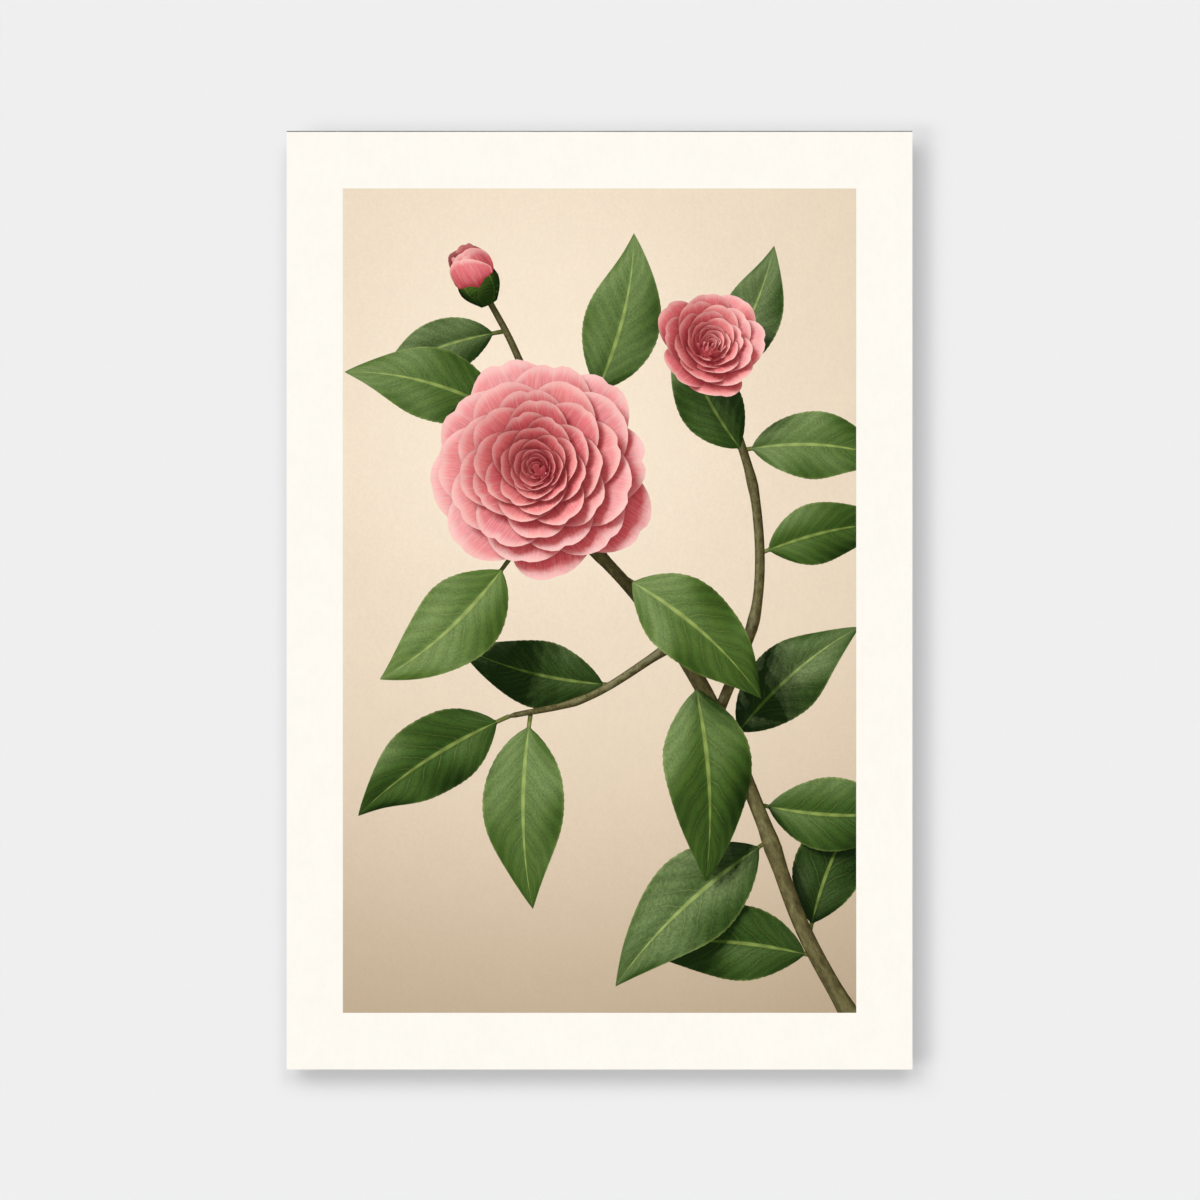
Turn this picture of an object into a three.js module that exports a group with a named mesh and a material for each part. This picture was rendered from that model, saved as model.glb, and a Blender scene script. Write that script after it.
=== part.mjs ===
// A mounted art print: a sheet of heavy matt paper on a flat composite board, with a mitred hanging frame of
// aluminium channel taped to its back. Units are millimetres.
//
// Frame: the print hangs upright, +Z is up, +X is the viewer's right and the printed face looks along -Y.
// The origin is the middle of the hook face, the underside of the top rail's web, where wall hooks bear.

import * as THREE from "three";

// Board and sheet. The board is a sandwich: two aluminium skins on a polyethylene core. The sheet covers it
// but for a hairline along the top, TOP_REVEAL high, where the front skin shows.
const BOARD_WIDTH = 400;
const BOARD_HEIGHT = 600;
const PAPER_THICKNESS = 0.5;
const TOP_REVEAL = 0.625;
const SKIN_THICKNESS = 0.25;
const CORE_THICKNESS = 2.5;

// Channel rail. Its front leg is taped to the board, its web is the outer side of the frame, and its shorter
// rear leg lies along the wall. The channel is open towards the middle of the frame.
const RAIL_DEPTH = 12;
const RAIL_WALL = 1.5;
const FRONT_LEG = 15;
const REAR_LEG = 12;
const FRAME_INSET = 30;

// Foam tape between board and rails.
const TAPE_THICKNESS = 1;
const TAPE_WIDTH = 10;
const TAPE_END_GAP = 20;

// Corner keys: L-shaped bars that fill the channel's depth where two rails meet.
const KEY_ARM = 30;
const KEY_BAR = 3;
const KEY_TAPER = 2;

// Felt pads on the side rails' rear legs.
const PAD_DIAMETER = 10;
const PAD_THICKNESS = 2;
const PAD_FROM_CORNER = 24;
const PAD_SIDES = 32;

// Places that follow from those sizes. The hook face is z = 0 and the middle of the channel is y = 0.
const FRAME_WIDTH = BOARD_WIDTH - 2 * FRAME_INSET;
const FRAME_HEIGHT = BOARD_HEIGHT - 2 * FRAME_INSET;
const FRAME_TOP = RAIL_WALL;
const FRAME_MIDDLE = FRAME_TOP - FRAME_HEIGHT / 2;
const TAPE_FRONT = -RAIL_DEPTH / 2 - TAPE_THICKNESS;

const paperMaterial = new THREE.MeshStandardMaterial({ color: "#fefaf1", roughness: 0.92, metalness: 0 });
const skinMaterial = new THREE.MeshStandardMaterial({ color: "#b1b0ae", roughness: 0.45, metalness: 0.9 });
const coreMaterial = new THREE.MeshStandardMaterial({ color: "#1d1d1f", roughness: 0.7, metalness: 0 });
const railMaterial = new THREE.MeshStandardMaterial({ color: "#c3c6c8", roughness: 0.35, metalness: 0.95 });
const tapeMaterial = new THREE.MeshStandardMaterial({ color: "#3a3b3d", roughness: 0.85, metalness: 0 });
const keyMaterial = new THREE.MeshStandardMaterial({ color: "#8d9092", roughness: 0.55, metalness: 0.8 });
const padMaterial = new THREE.MeshStandardMaterial({ color: "#8a8781", roughness: 1, metalness: 0 });

const print = new THREE.Group();

function addMesh(name, geometry, material) {
  const mesh = new THREE.Mesh(geometry, material);
  mesh.name = name;
  print.add(mesh);
  return mesh;
}

// A flat layer as wide as the board, with its rear face at y = rear. Its top edge lies `reveal` lower than
// the board's.
function addLayer(name, rear, thickness, reveal, material) {
  const layer = addMesh(name, new THREE.BoxGeometry(BOARD_WIDTH, thickness, BOARD_HEIGHT - reveal), material);
  layer.position.set(0, rear - thickness / 2, FRAME_MIDDLE - reveal / 2);
}

function addSheetAndBoard() {
  const layers = [
    ["panel_rear_skin", SKIN_THICKNESS, 0, skinMaterial],
    ["panel_core", CORE_THICKNESS, 0, coreMaterial],
    ["panel_front_skin", SKIN_THICKNESS, 0, skinMaterial],
    ["art_print", PAPER_THICKNESS, TOP_REVEAL, paperMaterial],
  ];
  let rear = TAPE_FRONT;
  for (const [name, thickness, reveal, material] of layers) {
    addLayer(name, rear, thickness, reveal, material);
    rear -= thickness;
  }
}

// The channel's section, as [depth along y, distance in from the frame's outer edge], anticlockwise.
function channelSection() {
  const front = -RAIL_DEPTH / 2;
  const rear = RAIL_DEPTH / 2;
  return [
    [front, 0],
    [rear, 0],
    [rear, REAR_LEG],
    [rear - RAIL_WALL, REAR_LEG],
    [rear - RAIL_WALL, RAIL_WALL],
    [front + RAIL_WALL, RAIL_WALL],
    [front + RAIL_WALL, FRONT_LEG],
    [front, FRONT_LEG],
  ];
}

// Where the section repeats along a rail, from one mitre (-1) to the other (1).
const RAIL_STATIONS = [-1, -0.5, 0.5, 1];

// One rail of the frame, as long as `length` at its outer edge, with both ends mitred at 45 degrees.
// It is made lying along x with its outer edge at z = 0 and its section below, so each end moves in by as
// much as a point lies in from the outer edge.
function mitredRail(length) {
  const outline = new THREE.Shape(channelSection().map(([y, inset]) => new THREE.Vector2(y, -inset)));
  const steps = RAIL_STATIONS.length - 1;
  const geometry = new THREE.ExtrudeGeometry(outline, { depth: steps, steps, bevelEnabled: false });
  const points = geometry.attributes.position;
  for (let i = 0; i < points.count; i += 1) {
    const y = points.getX(i);
    const z = points.getY(i);
    const station = RAIL_STATIONS[Math.round(points.getZ(i))];
    points.setXYZ(i, station * (length / 2 + z), y, z);
  }
  geometry.computeVertexNormals();
  return geometry;
}

// Turns a piece made for the top of the frame to another side, about the frame's middle. The turns are
// quarter turns, written out so that every coordinate stays exact.
const QUARTER_TURNS = {
  top: (x, z) => [x, z],
  right: (x, z) => [z, -x],
  bottom: (x, z) => [-x, -z],
  left: (x, z) => [-z, x],
};

function place(geometry, side, halfSpan) {
  const points = geometry.attributes.position;
  for (let i = 0; i < points.count; i += 1) {
    const [x, z] = QUARTER_TURNS[side](points.getX(i), points.getZ(i) + halfSpan);
    points.setXYZ(i, x, points.getY(i), z + FRAME_MIDDLE);
  }
  geometry.computeVertexNormals();
  return geometry;
}

// [side, length along that side, distance from the frame's middle out to that side]
const SIDES = [
  ["top", FRAME_WIDTH, FRAME_HEIGHT / 2],
  ["bottom", FRAME_WIDTH, FRAME_HEIGHT / 2],
  ["left", FRAME_HEIGHT, FRAME_WIDTH / 2],
  ["right", FRAME_HEIGHT, FRAME_WIDTH / 2],
];

function addRails() {
  for (const [side, length, halfSpan] of SIDES) {
    addMesh(`rail_${side}`, place(mitredRail(length), side, halfSpan), railMaterial);
  }
}

function addTape() {
  for (const [side, length, halfSpan] of SIDES) {
    const strip = new THREE.BoxGeometry(length - 2 * TAPE_END_GAP, TAPE_THICKNESS, TAPE_WIDTH);
    strip.translate(0, TAPE_FRONT + TAPE_THICKNESS / 2, -FRONT_LEG / 2);
    addMesh(`tape_${side}`, place(strip, side, halfSpan), tapeMaterial);
  }
}

// An L key for the corner at the frame's top right, with arms along -x and -z and tapered tips.
function cornerKey() {
  const outline = new THREE.Shape();
  outline.moveTo(0, 0);
  outline.lineTo(-KEY_ARM, 0);
  outline.lineTo(-KEY_ARM, -KEY_BAR / 2);
  outline.lineTo(-KEY_ARM + KEY_TAPER, -KEY_BAR);
  outline.lineTo(-KEY_BAR, -KEY_BAR);
  outline.lineTo(-KEY_BAR, -KEY_ARM + KEY_TAPER);
  outline.lineTo(-KEY_BAR / 2, -KEY_ARM);
  outline.lineTo(0, -KEY_ARM);
  outline.closePath();
  const depth = RAIL_DEPTH - 2 * RAIL_WALL;
  const geometry = new THREE.ExtrudeGeometry(outline, { depth, bevelEnabled: false });
  const points = geometry.attributes.position;
  for (let i = 0; i < points.count; i += 1) {
    points.setXYZ(i, points.getX(i), depth / 2 - points.getZ(i), points.getY(i));
  }
  return geometry;
}

function addCornerKeys() {
  const halfWidth = FRAME_WIDTH / 2 - RAIL_WALL;
  const halfHeight = FRAME_HEIGHT / 2 - RAIL_WALL;
  const corners = [
    ["top_right", "top", halfWidth, halfHeight],
    ["bottom_right", "right", halfHeight, halfWidth],
    ["bottom_left", "bottom", halfWidth, halfHeight],
    ["top_left", "left", halfHeight, halfWidth],
  ];
  for (const [corner, side, along, out] of corners) {
    const key = cornerKey();
    key.translate(along, 0, 0);
    addMesh(`corner_key_${corner}`, place(key, side, out), keyMaterial);
  }
}

function addPads() {
  const across = FRAME_WIDTH / 2 - REAR_LEG / 2;
  const up = FRAME_HEIGHT / 2 - PAD_FROM_CORNER;
  for (const [vertical, z] of [["top", up], ["bottom", -up]]) {
    for (const [horizontal, x] of [["left", -across], ["right", across]]) {
      const disc = new THREE.CylinderGeometry(PAD_DIAMETER / 2, PAD_DIAMETER / 2, PAD_THICKNESS, PAD_SIDES);
      const pad = addMesh(`pad_${vertical}_${horizontal}`, disc, padMaterial);
      pad.position.set(x, RAIL_DEPTH / 2 + PAD_THICKNESS / 2, FRAME_MIDDLE + z);
    }
  }
}

addSheetAndBoard();
addTape();
addRails();
addCornerKeys();
addPads();

export default print;
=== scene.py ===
import math
from functools import cached_property, partialmethod

import bmesh
import bpy
import numpy as np
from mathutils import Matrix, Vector, noise
from mathutils.bvhtree import BVHTree
from mathutils.geometry import delaunay_2d_cdt


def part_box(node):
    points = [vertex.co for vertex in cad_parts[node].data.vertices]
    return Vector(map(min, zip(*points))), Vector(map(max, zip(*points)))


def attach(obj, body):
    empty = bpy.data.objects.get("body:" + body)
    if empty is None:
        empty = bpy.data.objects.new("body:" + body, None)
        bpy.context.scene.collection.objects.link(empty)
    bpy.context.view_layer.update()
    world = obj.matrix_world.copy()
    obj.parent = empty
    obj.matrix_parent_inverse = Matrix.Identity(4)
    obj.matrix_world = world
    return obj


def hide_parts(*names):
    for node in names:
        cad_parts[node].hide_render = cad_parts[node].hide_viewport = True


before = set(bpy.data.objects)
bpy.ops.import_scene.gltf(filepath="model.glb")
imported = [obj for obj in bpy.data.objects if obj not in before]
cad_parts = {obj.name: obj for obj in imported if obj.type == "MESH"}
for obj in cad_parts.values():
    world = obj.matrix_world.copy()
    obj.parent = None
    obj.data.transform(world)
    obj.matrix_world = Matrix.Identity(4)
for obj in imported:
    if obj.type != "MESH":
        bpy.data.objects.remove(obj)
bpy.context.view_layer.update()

MM = 0.001

# The sheet, in millimetres. Picture space has its origin at the sheet's middle, x to the right, y up and
# z towards the viewer.
HALF_SHEET = np.array([400.0, 599.375]) / 2
HALF_PICTURE = np.array([328.2, 527.0]) / 2
CORNERS = np.array([(-1, -1), (1, -1), (1, 1), (-1, 1)])
PAPER_FRONT = -10.5
PAPER_REAR = -10.0
SHEET_MIDDLE = -268.8125

# How finely the picture is worked out.
FACET = 1.25
SKY_DIRECTIONS = 48
KEY_DIRECTIONS = 9

# The light drawn into the picture: an even sky and a wide lamp at the upper left. Each has its share of the
# light and a reach, beyond which a form throws no shadow.
SKY_SHARE, SKY_REACH = 0.52, 70.0
KEY_SHARE, KEY_REACH = 0.48, 160.0
KEY_FROM = np.array([-0.52, 0.58, 0.63])
KEY_WIDTH = 0.26
GLINT_FOCUS = 14


# Small geometry helpers.


def unit(v):
    v = np.asarray(v, float)
    return v / np.maximum(np.linalg.norm(v, axis=-1, keepdims=True), 1e-9)


def smooth_step(x):
    x = np.clip(x, 0, 1)
    return x * x * (3 - 2 * x)


def flat_cross(a, b):
    """The flat cross product, positive where b lies anticlockwise of a."""
    return a[..., 0] * b[..., 1] - a[..., 1] * b[..., 0]


def along(path, at):
    """Places on a path with evenly spaced points, at parameters from 0 to 1."""
    steps = np.linspace(0, 1, len(path))
    return np.stack([np.interp(at, steps, path[:, k]) for k in range(path.shape[1])], axis=-1)


def grid_quads(rows, columns, closed=False):
    """The faces of a grid of points, row by row. In a closed grid the last column meets the first."""
    i, j = np.meshgrid(np.arange(rows - 1), np.arange(columns if closed else columns - 1), indexing="ij")
    here, below = i * columns, (i + 1) * columns
    after = (j + 1) % columns
    return np.stack([here + j, below + j, below + after, here + after], axis=-1).reshape(-1, 4)


def smooth_path(corners, count):
    """A Catmull-Rom curve through the given points."""
    p = np.asarray(corners, float)
    p = np.vstack([2 * p[0] - p[1], p, 2 * p[-1] - p[-2]])
    at = np.linspace(0, len(p) - 3, count)
    i = np.minimum(at.astype(int), len(p) - 4)
    t = (at - i)[:, None]
    a, b, c, d = p[i], p[i + 1], p[i + 2], p[i + 3]
    bends = (2 * a - 5 * b + 4 * c - d) * t**2 + (3 * b - a - 3 * c + d) * t**3
    return 0.5 * (2 * b + (c - a) * t + bends)


# The picture's motif: a flowering branch, worked out as curved surfaces and then laid flat.

GROUND, LEAF, PETAL, STEM, BORDER = range(5)
SPIRAL = math.radians(137.5)  # the turn from one petal to the next
LEAF_STALK = 0.08  # the share of a leaf's length that is its stalk
LEAF_STEPS = 160
STEM_SIDES = 17


class Form:
    """One petal, leaf or length of stem: a grid of points, and where on the form each one is."""

    def __init__(self, points, u, v, kind, tone):
        self.points = points
        self.u, self.v = (np.broadcast_to(part, points.shape[:2]).ravel() for part in (u, v))
        self.kind = kind
        self.tone = tone
        self.normals = unit(np.cross(*np.gradient(points, axis=(0, 1)))).reshape(-1, 3)
        quads = grid_quads(*points.shape[:2])
        self.triangles = np.vstack([quads[:, [0, 1, 2]], quads[:, [0, 2, 3]]])

    @cached_property
    def surface(self):
        return BVHTree.FromPolygons(self.points.reshape(-1, 3).tolist(), self.triangles.tolist())

    def edges(self):
        """The form's outline and the folds where it turns its other side, as pairs of points."""
        p = self.points
        flat = p[..., :2]
        facing = np.sign(flat_cross(flat[1:, 1:] - flat[:-1, :-1], flat[1:, :-1] - flat[:-1, 1:]))
        pairs = [np.stack([side[:-1], side[1:]], 1) for side in (p[0], p[-1], p[:, 0], p[:, -1])]
        i, j = np.nonzero(facing[:, 1:] != facing[:, :-1])
        pairs.append(np.stack([p[i, j + 1], p[i + 1, j + 1]], 1))
        i, j = np.nonzero(facing[1:] != facing[:-1])
        pairs.append(np.stack([p[i + 1, j], p[i + 1, j + 1]], 1))
        pairs = np.vstack(pairs)
        return pairs[np.linalg.norm(pairs[:, 0, :2] - pairs[:, 1, :2], axis=1) > 1e-3]


def petal(centre, axis, turn, length, width, lean, cup, rng, kind=PETAL, tone=0.5, claw=0.3):
    """A petal that starts at lean[0] degrees from a flower's axis and ends at lean[1] degrees. cup lifts its
    sides, and claw is its foot's share of the width."""
    rows, columns, steps = 15, 17, 79
    axis = unit(axis)
    side = unit(np.cross(axis, [0.13, 1, 0.05]))
    out = math.cos(turn) * side + math.sin(turn) * np.cross(axis, side)
    across = np.cross(axis, out)
    fine = np.linspace(0, 1, steps + 1)
    angle = np.radians(lean[0] + (lean[1] - lean[0]) * fine**1.4)
    step = length / steps
    up, away = (np.concatenate([[0], np.cumsum(part(angle[:-1]))]) * step for part in (np.cos, np.sin))
    away += 0.04 * length

    phase = np.linspace(-math.pi / 2, math.pi / 2, columns)[None, :]
    v = np.sin(phase)
    s = np.linspace(0, 1, rows)[:, None]
    notch = rng.uniform(0.01, 0.05) * np.exp(-((v / 0.16) ** 2))
    skew = rng.uniform(-0.05, 0.05)
    reach = 0.56 + 0.44 * np.cos(phase) ** 0.9 - notch + skew * v
    t = s * reach
    half = width / 2 * (claw + (1 - claw) * smooth_step(t / 0.62))
    x = half * v
    ripple = rng.uniform(0.012, 0.028) * width * t**4 * np.sin(v * rng.uniform(4, 7) + rng.uniform(0, 6))
    lift = cup * x**2 / width + ripple
    bend = rng.uniform(-0.06, 0.06) * width * t**2

    at = np.interp(t, fine, angle)
    spine = centre + axis * np.interp(t, fine, up)[..., None] + out * np.interp(t, fine, away)[..., None]
    face = axis * np.sin(at)[..., None] - out * np.cos(at)[..., None]
    points = spine + across * (x + bend)[..., None] + face * lift[..., None]
    return Form(points, s, v, kind, tone)


def blossom(centre, axis, radius, count, seed, closed=0.0):
    """Petals in a spiral, from the tight middle to the flat outer rows. closed turns them all inwards."""
    rng = np.random.default_rng(seed)
    axis = unit(axis)
    made = []
    for i in range(count):
        t = (i + 0.5) / count
        length = radius * (0.36 + 0.66 * t) * rng.uniform(0.96, 1.04)
        width = radius * (0.07 + 0.75 * t**0.75) * rng.uniform(0.94, 1.06)
        lean = np.array([8 + 60 * t, -9 + 109 * t**0.8]) - closed * (20 + 30 * t) * min(1, 4 * t)
        base = centre + axis * radius * 0.16 * (1 - t)
        turn = i * SPIRAL + rng.normal(0, 0.05)
        tone = np.clip(0.5 + rng.normal(0, 0.16), 0, 1)
        made.append(petal(base, axis, turn, length, width, lean, 1.15 - 1.5 * t, rng, tone=tone))
    return made


def bud(base, axis, length, seed):
    """A closed bud and the green scales that hold it, the nearest first."""
    rng = np.random.default_rng(seed)
    axis = unit(axis)
    petals, scales = [], []
    for i in range(11):
        t = i / 10
        lean = (34 - 12 * t, -30 + 16 * t)
        size = length * (0.92 + 0.1 * t)
        inner = base + axis * 0.06 * length
        made = petal(inner, axis, i * SPIRAL, size, length * 0.72, lean, 1.1, rng, tone=0.2 + 0.3 * t)
        petals.append(made)
    for row, (count, share, lean) in enumerate(((4, 0.62, (56, -8)), (5, 0.42, (66, 4)))):
        size = length * share
        for i in range(count):
            turn = (i + 0.5 * row) * 2 * math.pi / count + 0.4
            scales.append(petal(base, axis, turn, size, size * 0.95, lean, 0.8, rng, LEAF, 0.9, claw=0.7))

    def nearness(form):
        middle = form.points.mean(axis=(0, 1)) - base
        return (middle - axis * (middle @ axis))[2]

    petals.sort(key=nearness, reverse=True)
    scales.sort(key=nearness, reverse=True)
    near = sum(nearness(form) > 0 for form in scales)
    return [*scales[:near], *petals, *scales[near:]]


def leaf(start, heading, length, width, turn, rise, roll, seed, tone):
    """A pointed oval leaf and its stalk. In degrees, heading is its first direction, turn how far that swings
    by the tip, rise the slope towards the viewer at base and tip, and roll the tilt about its midrib."""
    rng = np.random.default_rng(seed)
    rows, columns = 111, 15
    fine = np.linspace(0, 1, LEAF_STEPS + 1)
    angle = np.radians(heading + turn * fine**1.3)
    slope = np.radians(rise[0] + (rise[1] - rise[0]) * fine)
    ahead = np.stack([np.cos(angle) * np.cos(slope), np.sin(angle) * np.cos(slope), np.sin(slope)], 1)
    spine = np.vstack([np.zeros(3), np.cumsum(ahead[:-1], axis=0)]) * (length / LEAF_STEPS) + start
    stalk_steps = int(LEAF_STEPS * LEAF_STALK)
    stalk = stem(spine[: stalk_steps + 3 : 7], 1.5, 1.3, seed, tone=1.0)

    u = np.linspace(0, 1, rows)[:, None]
    v = np.linspace(-1, 1, columns)[None, :]
    shape = np.sin(math.pi * u**0.8) ** 0.95 * (1 - 0.16 * u**3)
    teeth = 1 + 0.03 * np.abs(v) ** 3 * ((u * 24) % 1.0) * (1 - u)
    half = np.maximum(width / 2 * shape * teeth, 1.3 * (1 - u**6))
    bend = unit(along(ahead[stalk_steps:], u[:, 0]))
    flat_side = unit(np.cross([0, 0, 1], bend))
    up_side = np.cross(bend, flat_side)
    tilt = np.radians(roll * (0.4 + 0.8 * u[:, 0]))[:, None]
    side = np.cos(tilt) * flat_side + np.sin(tilt) * up_side
    normal = np.cross(bend, side)
    wave = rng.uniform(0.08, 0.16) * np.sin(u * rng.uniform(9, 13) + v * 1.2 + rng.uniform(0, 6))
    lift = half * (0.25 * np.abs(v) - 0.30 * v**2 + wave * np.abs(v) ** 1.5)
    middle = along(spine[stalk_steps:], u[:, 0])
    points = middle[:, None] + side[:, None] * (half * v)[..., None] + normal[:, None] * lift[..., None]
    blade = Form(points, u, v, LEAF, np.clip(tone + rng.uniform(-0.15, 0.15), 0, 1))
    return blade, stalk


def stem(corners, thick, thin, seed, knots=0.0, tone=0.5):
    """A round stem through the given points, tapering from thick to thin."""
    rng = np.random.default_rng(seed)
    rows = max(12, 9 * len(corners))
    spine = smooth_path(corners, rows)
    ahead = unit(np.gradient(spine, axis=0))
    side = unit(np.cross([0, 0, 1], ahead))
    front = np.cross(ahead, side)
    u = np.linspace(0, 1, rows)
    radius = thick + (thin - thick) * u
    swell = np.maximum(0, np.sin(u * 6.3 * len(corners) * 0.6 + rng.uniform(0, 6))) ** 6
    radius = radius * (1 + knots * swell)
    radius[-1] *= 0.6
    turn = np.linspace(-math.pi * 1.5, math.pi * 0.5, STEM_SIDES)[None, :, None]
    round_it = np.cos(turn) * side[:, None] + np.sin(turn) * front[:, None]
    points = spine[:, None] + radius[:, None, None] * round_it
    return Form(points, u[:, None], np.linspace(-1, 1, STEM_SIDES)[None, :], STEM, tone)


# The branch's layout in picture space, nearest first. A row is what leaf or stem takes.
FRONT_LEAVES = [
    ((14, 16, 4), 330, 124, 54, -26, (26, -22), -16, 21, 0.85),
    ((-58, 26, 4), 234, 116, 54, -26, (22, -20), 16, 22, 0.8),
    ((90, 96, 2), 10, 104, 44, -34, (18, -20), -18, 23, 0.7),
    ((-58, 118, 0), 152, 112, 48, 30, (20, -16), 18, 24, 0.6),
    ((-4, 128, 0), 66, 112, 50, 24, (14, -14), -16, 25, 0.65),
    ((102, 30, -4), 22, 92, 40, -22, (18, -20), 18, 26, 0.55),
    ((94, 92, -4), 128, 98, 42, -28, (12, -14), 14, 27, 0.45),
    ((-58, -74, 2), 204, 118, 52, 22, (16, -18), -16, 28, 0.6),
    ((-44, -72, 0), 262, 128, 54, 20, (20, -16), 18, 29, 0.7),
    ((60, -48, 0), 282, 136, 58, -20, (22, -20), -18, 31, 0.65),
]
BACK_LEAVES = [
    ((-62, 172, -4), 190, 86, 36, 24, (10, -14), 14, 32, 0.2),
    ((74, 140, -6), 58, 96, 40, 20, (8, -14), -16, 33, 0.2),
    ((10, -54, -6), 176, 106, 44, -24, (8, -14), -14, 34, 0.15),
    ((100, -130, -4), 348, 112, 48, 26, (16, -14), 16, 35, 0.35),
    ((110, -152, -6), 214, 140, 58, 22, (14, -16), 16, 36, 0.25),
    ((84, -90, -8), 52, 112, 46, -24, (10, -14), -16, 37, 0.1),
    ((140, -228, -6), 166, 124, 50, 26, (12, -14), -14, 38, 0.3),
    ((134, -214, -6), 78, 110, 46, -30, (14, -14), 16, 39, 0.1),
]
TRUNK = [(176, -292, -14), (132, -214, -10), (104, -140, -8), (72, -66, -8)]
TRUNK += [(26, 0, -8), (-16, 48, -4), (-30, 84, 6)]
STEMS = [
    ([(76, -72, -8), (100, -6, -8), (100, 62, -6), (84, 118, -2), (68, 152, 6)], 3.6, 2.4, 52, 0.22),
    ([(-10, 40, -8), (-34, 108, -8), (-54, 160, -2), (-74, 198, 4)], 3.0, 1.9, 51, 0.2),
    ([(44, -30, -8), (-8, -62, -6), (-58, -74, 0)], 3.0, 1.7, 54, 0.2),
    (TRUNK, 5.4, 3.2, 53, 0.22),
]


def compose():
    """The whole branch, the front forms first."""
    main_flower = blossom((-34, 80, 14), (-0.18, 0.14, 1), 74, 66, 3)
    side_flower = blossom((66, 156, 12), (0.24, 0.42, 1), 44, 42, 8, closed=0.42)
    top_bud = bud((-70, 190, 4), (-0.55, 1, 0.35), 40, 5)
    leaves = [leaf(*row) for row in [*FRONT_LEAVES, *BACK_LEAVES]]
    stems = [stem(*row) for row in STEMS]
    nearest_leaf, leaf_gap = 10, 1.8
    for rank, pair in enumerate(leaves):
        for form in pair:
            form.points[..., 2] += nearest_leaf - leaf_gap * rank
    blades, stalks = zip(*leaves[: len(FRONT_LEAVES)])
    front = [*blades[:2], *main_flower, *side_flower, blades[2], *top_bud, *blades[3:]]
    return [*front, *stems, *stalks, *sum(leaves[len(FRONT_LEAVES) :], ())]


class Motif:
    """All forms together, as one surface."""

    LAYER = 400.0  # how far apart the forms are set when the front one must hide the ones behind
    CLEAR = 0.35  # how far above a form a place has to be to count as free of it
    ABOVE = 2000.0  # a height over every form

    def __init__(self, forms):
        self.forms = forms
        sizes = [form.u.size for form in forms]
        points = np.vstack([form.points.reshape(-1, 3) for form in forms])
        starts = np.cumsum([0, *sizes])
        triangles = np.vstack([form.triangles + start for form, start in zip(forms, starts)]).tolist()
        ranks = np.arange(len(forms))
        self.owner = np.repeat(ranks, [len(form.triangles) for form in forms])
        spread = points.copy()
        spread[:, 2] += (len(forms) - np.repeat(ranks, sizes)) * self.LAYER
        self.top = (len(forms) + 2) * self.LAYER
        self.solid = BVHTree.FromPolygons(points.tolist(), triangles)
        self.layered = BVHTree.FromPolygons(spread.tolist(), triangles)

    def front_at(self, x, y):
        """The front form at a place on the picture and its height there, or -1."""
        place, _, index, _ = self.layered.ray_cast(Vector((x, y, self.top)), Vector((0, 0, -1)))
        if index is None:
            return -1, 0.0
        return int(self.owner[index]), place.z

    def visible_edges(self):
        kept = []
        for k, form in enumerate(self.forms):
            shift = (len(self.forms) - k) * self.LAYER
            for a, b in form.edges():
                for t in (0.02, 0.35, 0.65, 0.98):
                    x, y, z = a + (b - a) * t
                    owner, height = self.front_at(x, y)
                    if owner < 0 or height < z + shift + self.CLEAR:
                        kept.append((a[:2], b[:2]))
                        break
        return np.array(kept)

    def visible_here(self, k, x, y, towards):
        """Where form k's near side is at a place on its outline or inside it. towards is a place inside."""
        for pull in (0.004, 0.05, 0.2, 0.5, 1.0):
            spot = (x + (towards[0] - x) * pull, y + (towards[1] - y) * pull, self.ABOVE)
            place, _, index, _ = self.forms[k].surface.ray_cast(Vector(spot), Vector((0, 0, -1)))
            if index is not None:
                return place, index
        return None, None

    def shaded(self, start, ray, far, own):
        """True if light along this ray is stopped by the form itself or by one in front of it."""
        past = 0.2
        while far > 0:
            place, _, index, distance = self.solid.ray_cast(start, ray, far)
            if index is None:
                return False
            if self.owner[index] <= own:
                return True
            start = place + ray * past
            far -= distance + past
        return False

    def falling(self, rays, far, places, normals, owners):
        """The light of these rays on each place, weighed by how squarely each one meets it."""
        total = np.zeros(len(places))
        starts = places + normals * self.CLEAR
        for ray in rays:
            facing = np.maximum(normals @ ray, 0)
            for i in np.nonzero(facing > 0.02)[0]:
                if not self.shaded(Vector(starts[i]), Vector(ray), far, owners[i]):
                    total[i] += facing[i]
        return total

    def light(self, places, normals, owners):
        """How much light falls on each place, 1 on a flat and open one, and how much of it glints."""
        golden = math.pi * (3 - math.sqrt(5))
        height = (np.arange(SKY_DIRECTIONS) + 0.5) / SKY_DIRECTIONS
        round_it = np.arange(SKY_DIRECTIONS) * golden
        flat = np.sqrt(1 - height**2)
        sky_rays = np.stack([flat * np.cos(round_it), flat * np.sin(round_it), height], 1)
        key = unit(KEY_FROM)
        side = unit(np.cross(key, [0, 1, 0]))
        spread = np.sqrt((np.arange(KEY_DIRECTIONS) + 0.5) / KEY_DIRECTIONS) * KEY_WIDTH
        turn = np.arange(KEY_DIRECTIONS) * golden
        offset = np.cos(turn)[:, None] * side + np.sin(turn)[:, None] * np.cross(key, side)
        key_rays = unit(key + spread[:, None] * offset)
        from_sky = self.falling(sky_rays, SKY_REACH, places, normals, owners)
        from_key = self.falling(key_rays, KEY_REACH, places, normals, owners)
        sky_whole, key_whole = sky_rays[:, 2].sum(), key_rays[:, 2].sum()
        light = SKY_SHARE * from_sky / sky_whole + KEY_SHARE * from_key / key_whole
        glint = unit(key + np.array([0, 0, 1.0]))
        return light, np.minimum(from_key / key_whole, 1) * np.maximum(normals @ glint, 0) ** GLINT_FOCUS


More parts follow.
